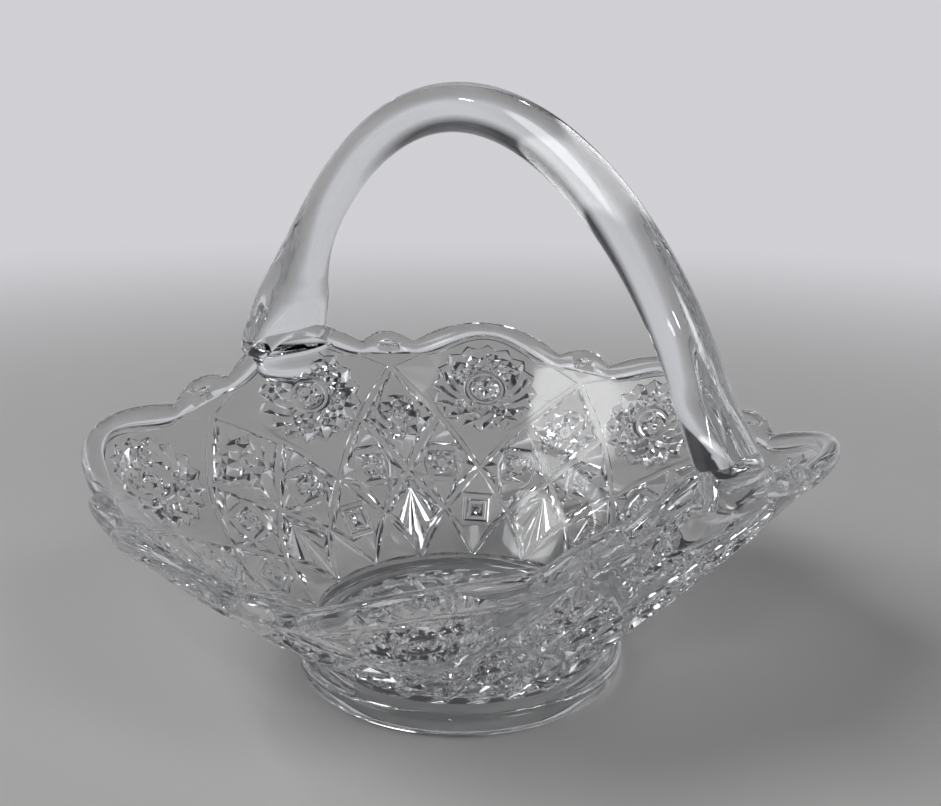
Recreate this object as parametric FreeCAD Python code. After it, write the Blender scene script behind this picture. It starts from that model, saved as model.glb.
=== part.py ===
"""Pressed glass basket: a footed bowl with a folded, scalloped rim and a rod handle melted on over it.

Millimetres, +Z up. The origin is the middle of the foot ring's rest plane, and the handle spans X.
The bowl's skin is made of flat facets, as cut glass is: a lattice of smooth bands on the outside of the
wall, with a hobstar, roundels, a stepped square and a fan of blades in its cells. The inside is smooth.
"""

import FreeCAD, Part
import math
import os

# Foot ring and floor
foot_radius = 50.0
foot_edge_height = 6.8
foot_edge_round = 2.2
foot_low_round = 3.0
foot_neck_radius = 46.4
foot_neck_height = 10.8
foot_rest_width = 4.4
foot_inner_chamfer = 1.6
recess_depth = 6.2
foot_steps = 3
floor_top = 12.0
floor_flat_radius = 37.0

# Wall: the inside surface rises from the floor's corner to the rim's edge
corner_radius = 41.0
corner_height = 13.2
wall_thick_low = 5.2
wall_thick_high = 4.4
wall_bulge = 2.6

# Rim's edge as folded by hand: mean reach and height, then how far each fold moves them
rim_reach = 102.7
rim_pinch = 2.1
rim_corner_pull = 5.8
rim_reach_lean_x = 2.3
rim_reach_lean_y = 0.6
rim_reach_skew = 3.6
rim_reach_wave = 1.3
rim_height = 76.7
rim_saddle = 7.3
rim_corner_lift = 3.9
rim_height_lean_x = 1.1
rim_height_lean_y = 6.3
rim_height_skew = 2.0
rim_height_wave = 1.5
lobe_pull = (0.0, -2.2, 0.0, -0.8, 0.0, -3.8, 0.6, 0.0)
lobe_lift = (0.0, 2.0, 1.1, 3.9, 2.2, 3.4, -3.0, 0.0)

# Scallops and the rounded bead that follows them
lobes = 8
lobe_half_angle = 16.25
notch_depth = 8.4
small_scallop_depth = 4.2
bead_height = 7.0
bead_thick = 6.6
bead_turns = (-48.0, 0.0, 45.0, 90.0, 135.0, 180.0, 228.0)
lobe_steps = 10
small_steps = 3
inside_steps = 4
inside_sides = lobes * 6
foot_sides = lobes * 8

# Lattice of bands, as shares of the wall's rise from floor corner to rim
arch_top = 0.80
side_crossing = 0.58
band_crossing = 0.355
arch_foot = 0.33
low_crossing = 0.20
pattern_foot = 0.03
side_place = 0.50
low_place = 0.50
band_half_width = 1.5

# Rises of the cells' centres
top_roundel_rise = 0.575
low_roundel_rise = 0.375
square_rise = 0.205
fan_rise = 0.19
toe_rise = 0.085
eye_rise = 0.847
hobstar_rise = 0.70

# Cutting depths, and the wall length that the motifs are drawn for
groove_depth = 1.5
half_groove_depth = 0.9
pit_depth = 1.2
shallow_depth = 0.5
crest_depth = 0.2
peak_depth = 0.1
groove_slope = 0.9
drawn_length = 88.0
first_turn = 90.0

# Motifs in the cells
eye_half_width = 2.6
eye_half_height = 1.4
eye_bed_share = 0.5
eye_points = 10
hobstar_margin = 0.5
hobstar_radius = 15.7
hobstar_jag_radius = 13.5
hobstar_outer_diamonds = 11.3
hobstar_inner_diamonds = 8.5
hobstar_ring_radius = 5.6
hobstar_button_radius = 3.0
hobstar_points = 16
roundel_radius = 8.4
roundel_outer_diamonds = 6.4
roundel_inner_diamonds = 4.2
roundel_button_radius = 2.3
roundel_points = 8
low_roundel_scale = 0.8
square_half_width = 3.8
square_half_height = 4.5
square_step = 1.5
step_slope = 0.4
square_button_radius = 1.3
square_button_points = 8
blade_tip_radius = 4.2
blade_valley_radius = 3.0
blade_points = 8
toe_pieces = 4
floor_star_points = 24
floor_star_radius = 33.0
floor_star_hub = 7.0
floor_star_depth = 1.4

# Handle: a round rod in the XZ plane, its flattened ends pressed on the outside of two lobes. The pad's shape
# lists stations from its tip up: shares of its length, half thickness and half width, then its stand off the wall
arch_half_span = 94.0
arch_shift = -3.0
arch_spring_height = 90.0
arch_rise = 75.0
arch_shape = 1.5
arch_end_angle = 76.0
rod_radius = 6.8
left_pad_half_width = 17.4
left_flare_length = 31.0
right_pad_half_width = 11.0
right_flare_length = 13.0
flare_shape = 2.0
pad_half_thick = 4.4
pad_length = 20.0
pad_shape = ((1.0, 0.36, 0.34, 0.4), (0.93, 0.62, 0.66, 0.8), (0.75, 0.9, 0.92, 1.2),
             (0.4, 1.0, 1.0, 1.6), (0.1, 1.25, 1.0, 3.2))
rod_sides = 16
rod_steps = 22

sector = 360.0 / lobes
small_half_angle = sector / 2.0 - lobe_half_angle


def turned(degrees, times=1):
    """Cosine and sine of a multiple of a plan angle."""
    angle = math.radians(degrees) * times
    return math.cos(angle), math.sin(angle)


def rim_edge(degrees):
    """Reach and height of the uncut rim at a plan angle: a round mould's rim after the hand folding."""
    lobe = (degrees / sector) % lobes
    c1, s1 = turned(degrees)
    c2, s2 = turned(degrees, 2)
    c3, s3 = turned(degrees, 3)
    c4, s4 = turned(degrees, 4)
    reach = rim_reach - rim_pinch * c2 - rim_corner_pull * c4
    reach += rim_reach_wave * c3 - rim_reach_lean_x * c1 - rim_reach_lean_y * s1 + rim_reach_skew * s2
    height = rim_height + rim_saddle * c2 + rim_corner_lift * c4
    height += rim_height_wave * c3 - rim_height_lean_x * c1 + rim_height_lean_y * s1 - rim_height_skew * s2
    for k in (int(lobe), int(lobe) + 1):
        near = math.cos(math.pi / 2.0 * (lobe - k)) ** 2
        reach += lobe_pull[k % lobes] * near
        height += lobe_lift[k % lobes] * near
    return reach, height


def wall_length(degrees):
    """Straight length of the wall from the floor's corner to the uncut rim."""
    reach, height = rim_edge(degrees)
    return math.hypot(reach - corner_radius, height - corner_height)


def wall_thick(rise):
    """Thickness of the wall, which thins towards the rim."""
    return wall_thick_low + (wall_thick_high - wall_thick_low) * rise


def wall_place(degrees, rise, lift):
    """Radius and height of a point on the wall, lifted outwards from the inside surface."""
    reach, height = rim_edge(degrees)
    length = wall_length(degrees)
    along_r = (reach - corner_radius) / length
    along_z = (height - corner_height) / length
    out = lift + wall_bulge * 4.0 * rise * (1.0 - rise)
    radius = corner_radius + along_r * length * rise + along_z * out
    return radius, corner_height + along_z * length * rise - along_r * out


def scallop_drop(degrees):
    """How far the scalloped edge lies below the uncut rim."""
    off = abs((degrees + sector / 2.0) % sector - sector / 2.0)
    if off <= lobe_half_angle:
        return notch_depth * (off / lobe_half_angle) ** 2
    share = (sector / 2.0 - off) / small_half_angle
    return small_scallop_depth + (notch_depth - small_scallop_depth) * share ** 2


class Skin:
    """A closed skin of flat facets that share their corners."""

    def __init__(self):
        self.corners = []
        self.facets = []
        self.known = {}

    def corner(self, x, y, z):
        key = (round(x, 4), round(y, 4), round(z, 4))
        if key not in self.known:
            self.known[key] = len(self.corners)
            self.corners.append(FreeCAD.Vector(*key))
        return self.known[key]

    def polar(self, degrees, radius, height):
        c, s = turned(degrees)
        return self.corner(radius * c, radius * s, height)

    def facet(self, a, b, c):
        if len({a, b, c}) == 3:
            self.facets.append((a, b, c))

    def holds(self, point):
        """Whether a point lies inside the closed skin: a ray from it crosses an odd number of facets."""
        ray = FreeCAD.Vector(0.3719, 0.2113, 0.9038)
        crossings = 0
        for corner_a, corner_b, corner_c in self.facets:
            a = self.corners[corner_a]
            side_b = self.corners[corner_b] - a
            side_c = self.corners[corner_c] - a
            across = ray.cross(side_c)
            size = side_b.dot(across)
            if abs(size) < 1e-12:
                continue
            offset = point - a
            share_b = offset.dot(across) / size
            if share_b < 0.0 or share_b > 1.0:
                continue
            turn = offset.cross(side_b)
            share_c = ray.dot(turn) / size
            if share_c >= 0.0 and share_b + share_c <= 1.0 and side_c.dot(turn) / size > 0.0:
                crossings += 1
        return crossings % 2 == 1

    def sheet(self, facets):
        """Flat faces for some of the facets, in the same order."""
        faces = []
        for facet in facets:
            loop = [self.corners[k] for k in facet]
            faces.append(Part.Face(Part.makePolygon(loop + loop[:1])))
        return faces

    def normal(self, facet):
        a, b, c = (self.corners[k] for k in facet)
        return (b - a).cross(c - a)

    def bearings(self, loop, frame):
        """Angles of a loop's corners about a frame's centre, running on through the full turn."""
        centre, across, up = frame
        angles = []
        for k in loop + loop[:1]:
            offset = self.corners[k] - centre
            angle = math.atan2(offset.dot(up), offset.dot(across))
            if angles:
                angle = angles[-1] + math.remainder(angle - angles[-1], 2.0 * math.pi)
            angles.append(angle)
        return angles

    def strip(self, outer, inner, frame):
        """Facets between two closed loops that run round a frame's centre, whatever their corner counts."""
        first = self.bearings(outer[:1], frame)[0]
        starts = [self.bearings([k], frame)[0] - first for k in inner]
        start = min(range(len(inner)), key=lambda k: 1.0 - math.cos(starts[k]))
        inner = inner[start:] + inner[:start]
        outer_angles = self.bearings(outer, frame)
        inner_angles = self.bearings(inner, frame)
        lead = math.remainder(starts[start], 2.0 * math.pi) - (inner_angles[0] - outer_angles[0])
        i = j = 0
        while i < len(outer) or j < len(inner):
            a = outer[i % len(outer)]
            b = inner[j % len(inner)]
            inner_next = inner_angles[j + 1] + lead if j < len(inner) else math.inf
            outer_next = outer_angles[i + 1] if i < len(outer) else math.inf
            if outer_next <= inner_next + 1e-6:
                i += 1
                self.facet(a, outer[i % len(outer)], b)
            else:
                j += 1
                self.facet(a, inner[j % len(inner)], b)

    def tube(self, one, other):
        """Facets between two closed loops of equal corner counts, corner to corner."""
        for k, a in enumerate(one):
            b = one[(k + 1) % len(one)]
            c = other[(k + 1) % len(other)]
            d = other[k]
            self.facet(a, b, c)
            self.facet(a, c, d)

    def fan(self, loop, tip):
        for k, a in enumerate(loop):
            self.facet(a, loop[(k + 1) % len(loop)], tip)

    def nest(self, loops, tip, frame):
        """Strips between loops from the outermost in, closed by a fan to the tip."""
        for outer, inner in zip(loops, loops[1:]):
            self.strip(outer, inner, frame)
        self.fan(loops[-1], tip)

    def solid(self):
        shape = Part.Shape()
        shape.makeShapeFromMesh((self.corners, self.facets), 0.001)
        solid = Part.Solid(Part.Shell(shape.Faces))
        return solid if solid.Volume > 0 else solid.reversed()


skin = Skin()
upright = FreeCAD.Vector(0, 0, 0), FreeCAD.Vector(1, 0, 0), FreeCAD.Vector(0, 1, 0)
underneath = FreeCAD.Vector(0, 0, 0), FreeCAD.Vector(1, 0, 0), FreeCAD.Vector(0, -1, 0)


def spot(place, depth=0.0):
    """Corner on the outside of the wall. A place is a plan angle and a rise; depth cuts into the glass."""
    degrees, rise = place
    radius, height = wall_place(degrees, rise, wall_thick(rise) - depth)
    return skin.polar(degrees, radius, height)


def spots(places, depth=0.0):
    return [spot(place, depth) for place in places]


def wall_frame(place):
    """A place's point on the outside of the wall, with the directions across and up the wall there."""
    degrees, rise = place
    c, s = turned(degrees)
    radius, height = wall_place(degrees, rise, wall_thick(rise))
    reach, top = rim_edge(degrees)
    up = FreeCAD.Vector((reach - corner_radius) * c, (reach - corner_radius) * s, top - corner_height)
    return FreeCAD.Vector(radius * c, radius * s, height), FreeCAD.Vector(-s, c, 0), up.normalize()


def shifted(place, across, up):
    """The place some millimetres across and up the wall from another, on a wall of the drawn length."""
    degrees, rise = place
    new_rise = rise + up / drawn_length
    radius, _ = wall_place(degrees, new_rise, wall_thick(new_rise))
    stretch = wall_length(degrees) / drawn_length
    return degrees + math.degrees(across * stretch / radius), new_rise


def around(centre, radius, count, turn=first_turn):
    """Places on a circle about a centre, counter-clockwise as seen from outside."""
    result = []
    for k in range(count):
        c, s = turned(turn + 360.0 * k / count)
        result.append(shifted(centre, radius * c, radius * s))
    return result


def starred(centre, tip_radius, valley_radius, points):
    """Places on a star's outline, tips and valleys by turns."""
    tips = around(centre, tip_radius, points)
    valleys = around(centre, valley_radius, points, first_turn + 180.0 / points)
    return [place for pair in zip(tips, valleys) for place in pair]


def by_turns(places, even_depth, odd_depth):
    """Corners at two depths by turns."""
    return [spot(place, odd_depth if k % 2 else even_depth) for k, place in enumerate(places)]


def split(path, pieces):
    """A closed path of places with each side cut into equal pieces."""
    result = []
    for k, (a, b) in enumerate(zip(path, path[1:] + path[:1])):
        for j in range(pieces):
            share = j / pieces
            result.append((a[0] + (b[0] - a[0]) * share, a[1] + (b[1] - a[1]) * share))
    return result


def drawn_in(path, centre, distance):
    """The path drawn in towards a centre by a distance measured on the wall."""
    result = []
    for degrees, rise in path:
        radius, _ = wall_place(degrees, rise, wall_thick(rise))
        across = math.radians(centre[0] - degrees) * radius
        up = (centre[1] - rise) * wall_length(degrees)
        share = distance / math.hypot(across, up)
        result.append((degrees + (centre[0] - degrees) * share, rise + (centre[1] - rise) * share))
    return result


def cell(path, centre):
    """Loops that every cell of the lattice starts with: band line, band edge and groove."""
    line = split(path, 2)
    edge = drawn_in(line, centre, band_half_width)
    groove = drawn_in(line, centre, band_half_width + groove_slope)
    return [spots(line), spots(edge), spots(groove, groove_depth)]


def roundel_cell(path, centre, scale):
    """A cell with a ring of diamonds round a button."""
    loops = cell(path, centre)
    loops.append(spots(around(centre, roundel_radius * scale, roundel_points), crest_depth))
    outer = around(centre, roundel_outer_diamonds * scale, roundel_points * 2)
    inner = around(centre, roundel_inner_diamonds * scale, roundel_points * 2)
    loops.append(by_turns(outer, groove_depth, peak_depth))
    loops.append(by_turns(inner, peak_depth, groove_depth))
    loops.append(spots(around(centre, roundel_button_radius, roundel_points), groove_depth))
    skin.nest(loops, spot(centre), wall_frame(centre))


def square_cell(path, centre):
    """A cell with a square stepped twice and a button on top."""
    loops = cell(path, centre)
    steps = ((0.0, groove_depth), (step_slope, shallow_depth), (square_step, shallow_depth),
             (square_step + step_slope, 0.0))
    for inset, depth in steps:
        wide, high = square_half_width - inset, square_half_height - inset
        corners = [shifted(centre, wide * x, high * y) for x, y in ((1, -1), (1, 1), (-1, 1), (-1, -1))]
        loops.append(spots(split(corners, 2), depth))
    loops.append(spots(around(centre, square_button_radius, square_button_points), shallow_depth))
    skin.nest(loops, spot(centre), wall_frame(centre))


def fan_cell(path, centre):
    """A cell with sharp blades that spread from its middle."""
    loops = cell(path, centre)
    blades = starred(centre, blade_tip_radius, blade_valley_radius, blade_points)
    loops.append(by_turns(blades, crest_depth, groove_depth))
    skin.nest(loops, spot(centre, shallow_depth), wall_frame(centre))


def toe_cell(path, centre):
    """A small three-sided cell at the foot of the pattern, cut as a pyramid."""
    edge = drawn_in(path, centre, band_half_width)
    skin.nest([spots(path), spots(edge, pit_depth)], spot(centre), wall_frame(centre))


def eye_cell(path, centre):
    """A smooth cell with an oval thumbprint."""
    ring = [turned(360.0 * k / eye_points) for k in range(eye_points)]
    rim = [shifted(centre, eye_half_width * c, eye_half_height * s) for c, s in ring]
    bed = drawn_in(rim, centre, eye_half_height * eye_bed_share)
    skin.nest([path, spots(rim), spots(bed, half_groove_depth)], spot(centre, pit_depth), wall_frame(centre))


def hobstar(centre, boundary):
    """A hobstar: hub button, ring, two rings of diamonds and a jagged outline in the smooth margin."""
    lip_radius = hobstar_radius + groove_slope
    outline = starred(centre, hobstar_radius, hobstar_jag_radius, hobstar_points)
    outer = around(centre, hobstar_outer_diamonds, hobstar_points * 2)
    inner = around(centre, hobstar_inner_diamonds, hobstar_points * 2)
    loops = [boundary]
    loops.append(spots(around(centre, lip_radius + hobstar_margin, hobstar_points)))
    loops.append(spots(starred(centre, lip_radius, hobstar_jag_radius + groove_slope, hobstar_points)))
    loops.append(by_turns(outline, half_groove_depth, groove_depth))
    loops.append(by_turns(outer, peak_depth, groove_depth))
    loops.append(by_turns(inner, groove_depth, peak_depth))
    loops.append(spots(around(centre, hobstar_ring_radius + groove_slope, hobstar_points), groove_depth))
    loops.append(spots(around(centre, hobstar_ring_radius, hobstar_points), crest_depth))
    loops.append(spots(around(centre, hobstar_button_radius + groove_slope, hobstar_points // 2), groove_depth))
    loops.append(spots(around(centre, hobstar_button_radius, hobstar_points // 2), crest_depth))
    skin.nest(loops, spot(centre, shallow_depth), wall_frame(centre))


def rim_angles(mid):
    """Plan angles of the bead's sections across one lobe, from notch axis to notch axis."""
    half = sector / 2.0
    small = [mid - half + small_half_angle * k / small_steps for k in range(small_steps)]
    big = [mid - lobe_half_angle + 2.0 * lobe_half_angle * k / lobe_steps for k in range(lobe_steps)]
    last = [mid + lobe_half_angle + small_half_angle * k / small_steps for k in range(small_steps)]
    return small + big + last


def bead_corner(degrees, turn):
    """Corner of the bead's rounded section: turn 0 faces out, 90 is the top, 180 faces in."""
    c, s = turned(turn)
    rise_mm = wall_length(degrees) - scallop_drop(degrees) - bead_height / 2.0 * (1.0 - s)
    rise = rise_mm / wall_length(degrees)
    radius, height = wall_place(degrees, rise, wall_thick(rise) / 2.0 + bead_thick / 2.0 * c)
    return skin.polar(degrees, radius, height)


def patterned_sector(mid):
    """One lobe's share of the outside of the wall."""
    half = sector / 2.0

    def at(place, rise):
        return mid + place * half, rise

    top_left, top_right = at(-1, arch_top), at(1, arch_top)
    side_left, side_right = at(-side_place, side_crossing), at(side_place, side_crossing)
    cross = at(0, band_crossing)
    foot_left, foot_right = at(-1, arch_foot), at(1, arch_foot)
    far_side = at(2 - side_place, side_crossing)
    low_left, low_right = at(-low_place, low_crossing), at(low_place, low_crossing)
    far_low = at(2 - low_place, low_crossing)
    toe = at(0, pattern_foot)
    far_toe = at(1, pattern_foot)

    roundel_cell([foot_right, far_side, top_right, side_right], at(1, top_roundel_rise), 1.0)
    left_path = [low_left, cross, side_left, foot_left]
    right_path = [low_right, foot_right, side_right, cross]
    roundel_cell(left_path, at(-side_place, low_roundel_rise), low_roundel_scale)
    roundel_cell(right_path, at(side_place, low_roundel_rise), low_roundel_scale)
    square_cell([toe, low_right, cross, low_left], at(0, square_rise))
    fan_cell([far_toe, far_low, foot_right, low_right], at(1, fan_rise))
    for sign, low in ((1, low_right), (-1, low_left)):
        row = [at(sign * k / toe_pieces, pattern_foot) for k in range(toe_pieces + 1)]
        path = row + split([row[-1], low, row[0]], 2)[1:4]
        toe_cell(path[::sign], at(sign * side_place, toe_rise))

    lower_right = split([cross, side_right, top_right], 2)[:4]
    lower_left = split([top_left, side_left, cross], 2)[:4]
    big = rim_angles(mid)[small_steps:small_steps + lobe_steps + 1]
    under_bead = [bead_corner(a, bead_turns[0]) for a in big]
    boundary = spots(lower_right) + [spot(top_right)] + under_bead[::-1] + spots(lower_left)
    hobstar(at(0, hobstar_rise), boundary)
    scallop = [mid + half + small_half_angle * k / small_steps for k in range(-small_steps, small_steps + 1)]
    eye_path = [spot(top_right)] + [bead_corner(a, bead_turns[0]) for a in scallop[::-1]]
    eye_cell(eye_path, at(1, eye_rise))


def bead():
    """The rounded bead along the scallops."""
    angles = []
    for k in range(lobes):
        angles += rim_angles(k * sector)
    loops = [[bead_corner(a, turn) for a in angles] for turn in bead_turns]
    for outer, inner in zip(loops, loops[1:]):
        skin.strip(outer, inner, upright)
    return loops[-1]


def inside(top_loop):
    """The smooth inside of the wall and the floor."""
    angles = [360.0 * k / inside_sides for k in range(inside_sides)]
    loops = [top_loop]
    for k in range(inside_steps, -1, -1):
        loops.append([skin.polar(a, *wall_place(a, arch_top * k / inside_steps, 0.0)) for a in angles])
    loops.append([skin.polar(a, floor_flat_radius, floor_top) for a in angles])
    loops.append([skin.polar(a, floor_flat_radius / 2.0, floor_top) for a in angles[::2]])
    skin.nest(loops, skin.corner(0.0, 0.0, floor_top), upright)


def arc(centre_radius, centre_height, radius, first, last):
    """Points of a rounded edge in the foot's section, from one angle to another."""
    points = []
    for k in range(foot_steps + 1):
        c, s = turned(first + (last - first) * k / foot_steps)
        points.append((centre_radius + radius * c, centre_height + radius * s))
    return points


def foot_section():
    """The ring foot's section from the neck down the outside, across the rest face and up into the recess."""
    rest_outer = foot_radius - foot_low_round
    rest_inner = rest_outer - foot_rest_width
    recess_radius = rest_inner - foot_inner_chamfer
    section = [(foot_neck_radius, foot_neck_height)]
    section += arc(foot_radius - foot_edge_round, foot_edge_height - foot_edge_round, foot_edge_round, 90, 0)
    section += arc(rest_outer, foot_low_round, foot_low_round, 0, -90)
    section += [(rest_inner, 0.0), (recess_radius, foot_inner_chamfer), (recess_radius, recess_depth)]
    return section


def underside():
    """The plain band under the pattern, the turned ring foot and the floor's underside with its star."""
    angles = [360.0 * k / foot_sides for k in range(foot_sides)]
    loops = [spots([(a, pattern_foot) for a in angles])]
    loops += [[skin.polar(a, radius, height) for a in angles] for radius, height in foot_section()]
    points = [180.0 * k / floor_star_points for k in range(floor_star_points * 2)]
    rays = []
    for k, a in enumerate(points):
        rays.append(skin.polar(a, floor_star_radius, recess_depth + (k % 2) * floor_star_depth))
    hub = [skin.polar(a, floor_star_hub, recess_depth + floor_star_depth) for a in points[::2]]
    loops += [rays, hub]
    skin.nest([loop[::-1] for loop in loops], skin.corner(0.0, 0.0, recess_depth), underneath)


def bowl():
    for k in range(lobes):
        patterned_sector(k * sector)
    inside(bead())
    underside()
    return skin


def pad_point(degrees, below_rim, stand):
    """A point of the handle's path in its pad, standing some way off the outside of a lobe's wall."""
    rise = 1.0 - below_rim / wall_length(degrees)
    radius, height = wall_place(degrees, rise, wall_thick(rise) + stand)
    return FreeCAD.Vector(radius * turned(degrees)[0], 0, height)


def pad_stations(degrees, half_width):
    """Stations of a pad from its tip up to the rim: how far down, how thick and how wide it is there."""
    stations = []
    for down, thick, wide, stand in pad_shape:
        point = pad_point(degrees, pad_length * down, stand)
        stations.append((point, pad_half_thick * thick, half_width * wide))
    return stations


def handle_stations():
    """Places along the rod with the half thickness and half width of its section."""
    left = pad_stations(180.0, left_pad_half_width)
    right = pad_stations(0.0, right_pad_half_width)
    arch = []
    for k in range(rod_steps + 1):
        angle = math.radians(-arch_end_angle + 2.0 * arch_end_angle * k / rod_steps)
        x = arch_shift + arch_half_span * math.sin(angle)
        z = arch_spring_height + arch_rise * math.cos(angle) ** arch_shape
        point = FreeCAD.Vector(x, 0, z)
        wide = rod_radius
        for pad, half_width, length in ((left, left_pad_half_width, left_flare_length),
                                        (right, right_pad_half_width, right_flare_length)):
            away = (point - pad[-1][0]).Length
            wide += (half_width - rod_radius) * math.exp(-(away / length) ** flare_shape)
        arch.append((point, rod_radius, wide))
    return left + arch + right[::-1]


def handle():
    """The rod's skin: oval sections square to its path, from the tip of one pad to the tip of the other."""
    stations = handle_stations()
    path = Part.BSplineCurve()
    path.interpolate([place for place, _, _ in stations])
    marks = [path.parameter(place) for place, _, _ in stations]
    across = FreeCAD.Vector(0, 1, 0)
    rod = Skin()
    loops = []
    for k, (place, thick, wide) in enumerate(stations):
        outward = across.cross(path.tangent(marks[k])[0])
        loop = []
        for side in range(rod_sides):
            c, s = turned(360.0 * side / rod_sides)
            loop.append(rod.corner(*(place + outward * (thick * c) + across * (wide * s))))
        loops.append(loop)
    for one, other in zip(loops, loops[1:]):
        rod.tube(one, other)
    rod.fan(loops[-1], rod.corner(*stations[-1][0]))
    rod.fan(loops[0][::-1], rod.corner(*stations[0][0]))
    return rod


def joined(body, rod):
    """One skin from two that cross: crossing facets are split, and what lies inside the other is dropped."""
    reach = max(left_pad_half_width, right_pad_half_width) + bead_thick
    low = min(corner.z for corner in rod.corners) - bead_thick
    high = max(corner.z for corner in body.corners) + bead_thick
    result = Skin()
    crossing = []
    for source, other in ((body, rod), (rod, body)):
        for facet in source.facets:
            corners = [source.corners[k] for k in facet]
            beside = min(abs(corner.y) for corner in corners) > reach
            inner = max(abs(corner.x) for corner in corners) < corner_radius + wall_bulge
            apart = max(c.z for c in corners) < low or min(c.z for c in corners) > high
            if beside or inner or apart:
                result.facet(*(result.corner(*corner) for corner in corners))
            else:
                crossing.append((source, other, facet))
    faces = []
    for source, other, facet in crossing:
        faces += source.sheet([facet])
    _, pieces = faces[0].generalFuse(faces[1:])
    for (source, other, facet), shapes in zip(crossing, pieces):
        outward = source.normal(facet)
        for piece in (face for shape in shapes for face in shape.Faces):
            points, triangles = piece.tessellate(0.01)
            a, b, c = (points[k] for k in triangles[0])
            if other.holds((a + b + c) / 3.0):
                continue
            for a, b, c in ([points[k] for k in triangle] for triangle in triangles):
                turn = (b - a).cross(c - a).dot(outward)
                order = (a, b, c) if turn > 0.0 else (a, c, b)
                result.facet(*(result.corner(*point) for point in order))
    return result


basket = joined(bowl(), handle())
glass_basket = basket.solid()

os.makedirs("parts", exist_ok=True)
glass_basket.exportStep("parts/glass_basket.step")
print("facets", len(basket.facets), "faces", len(glass_basket.Faces))
print("valid", glass_basket.isValid(), "volume", round(glass_basket.Volume, 1), "box", glass_basket.BoundBox)
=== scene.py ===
# %% [markdown]
# # A pressed glass basket
# The real object is one piece of clear glass: a footed bowl pressed in a mould that looks like cut crystal, its
# rim folded by hand while it was soft, and a rod of hot glass laid over it as a handle. Clear glass shows only
# what its shape does to the light, so nearly all of the work here is shape, and the material stays simple.
# The sizes are in millimetres, as in the CAD part, and the finished meshes are scaled to metres.

# %% The frame of the CAD part
import math

import bmesh
import bpy
from mathutils import Matrix, Vector


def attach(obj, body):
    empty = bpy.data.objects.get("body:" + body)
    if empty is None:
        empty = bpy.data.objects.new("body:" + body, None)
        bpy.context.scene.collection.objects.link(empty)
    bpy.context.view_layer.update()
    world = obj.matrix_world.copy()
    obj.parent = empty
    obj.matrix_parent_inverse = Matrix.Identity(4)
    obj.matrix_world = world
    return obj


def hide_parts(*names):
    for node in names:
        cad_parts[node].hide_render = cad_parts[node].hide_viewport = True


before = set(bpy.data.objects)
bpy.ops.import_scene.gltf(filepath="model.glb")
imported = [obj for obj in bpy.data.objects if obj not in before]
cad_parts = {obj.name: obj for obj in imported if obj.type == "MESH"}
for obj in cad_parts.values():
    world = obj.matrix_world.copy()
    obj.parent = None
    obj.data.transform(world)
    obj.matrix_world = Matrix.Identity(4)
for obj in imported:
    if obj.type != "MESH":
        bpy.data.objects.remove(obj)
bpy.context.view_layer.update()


# %% Helpers for selecting and for angles
def deselect_all():
    """An operator acts on everything that is selected, so each step starts with nothing selected."""
    if bpy.context.object and bpy.context.object.mode != "OBJECT":
        bpy.ops.object.mode_set(mode="OBJECT")
    bpy.ops.object.select_all(action="DESELECT")


def make_active(piece):
    deselect_all()
    piece.select_set(True)
    bpy.context.view_layer.objects.active = piece


def turned(degrees, times=1):
    """Cosine and sine of a multiple of a plan angle."""
    angle = math.radians(degrees) * times
    return math.cos(angle), math.sin(angle)


deselect_all()

# %% [markdown]
# ## The camera
# It stands where the photograph's camera stood, in front of the handle's right end and a little above the rim.
# It comes first, so that every later step can be looked at from the same place.

# %% Camera
camera_place = Vector((0.24192, -0.20029, 0.16624))
camera_forward = Vector((-0.7383, 0.6214, -0.2623)).normalized()
camera_up = Vector((-0.2067, 0.1616, 0.9650))
bpy.ops.object.camera_add(location=camera_place)
camera = bpy.context.object
camera.name = "camera"
side = camera_forward.cross(camera_up).normalized()
up = side.cross(camera_forward)
camera.rotation_mode = "QUATERNION"
camera.rotation_quaternion = Matrix((side, up, -camera_forward)).transposed().to_quaternion()
camera.data.sensor_width = 36.0
camera.data.lens = 42.31
camera.data.clip_start = 0.01
bpy.context.scene.camera = camera
print("camera at", tuple(round(v, 3) for v in camera_place), "lens", camera.data.lens)

# %% [markdown]
# ## The bowl's main form
# The mould gives a plain round bowl. The folding then pulls two sides of the rim up to the handle and lets the
# other two down, and it leaves the rim a little uneven. A few cosines of the plan angle describe that well, so
# every point of the wall is placed by two numbers: its plan angle, and its rise from the floor's corner to the rim.
# The first number of reach and of height below is the rim's mean, and each other one is the size of one wave
# round the rim: once round tilts it, twice round lifts the handle's sides, and four times round squares its plan.

# %% The rim as the hand left it
lobes = 8
sector = 360.0 / lobes
lobe_pull = (0.0, -2.2, 0.0, -0.8, 0.0, -3.8, 0.6, 0.0)
lobe_lift = (0.0, 2.0, 1.1, 3.9, 2.2, 3.4, -3.0, 0.0)


def rim_edge(degrees):
    """Reach and height of the uncut rim at a plan angle, with what the hand did to each lobe."""
    lobe = (degrees / sector) % lobes
    c1, s1 = turned(degrees)
    c2, s2 = turned(degrees, 2)
    c3, c4 = turned(degrees, 3)[0], turned(degrees, 4)[0]
    reach = 102.7 - 2.1 * c2 - 5.8 * c4 + 1.3 * c3 - 2.3 * c1 - 0.6 * s1 + 3.6 * s2
    height = 76.7 + 7.3 * c2 + 3.9 * c4 + 1.5 * c3 - 1.1 * c1 + 6.3 * s1 - 2.0 * s2
    for k in (int(lobe), int(lobe) + 1):
        near = math.cos(math.pi / 2.0 * (lobe - k)) ** 2
        reach += lobe_pull[k % lobes] * near
        height += lobe_lift[k % lobes] * near
    return reach, height


heights = [round(rim_edge(k * sector)[1], 1) for k in range(lobes)]
print("rim heights at the middle of each lobe, mm:", heights)

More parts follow.
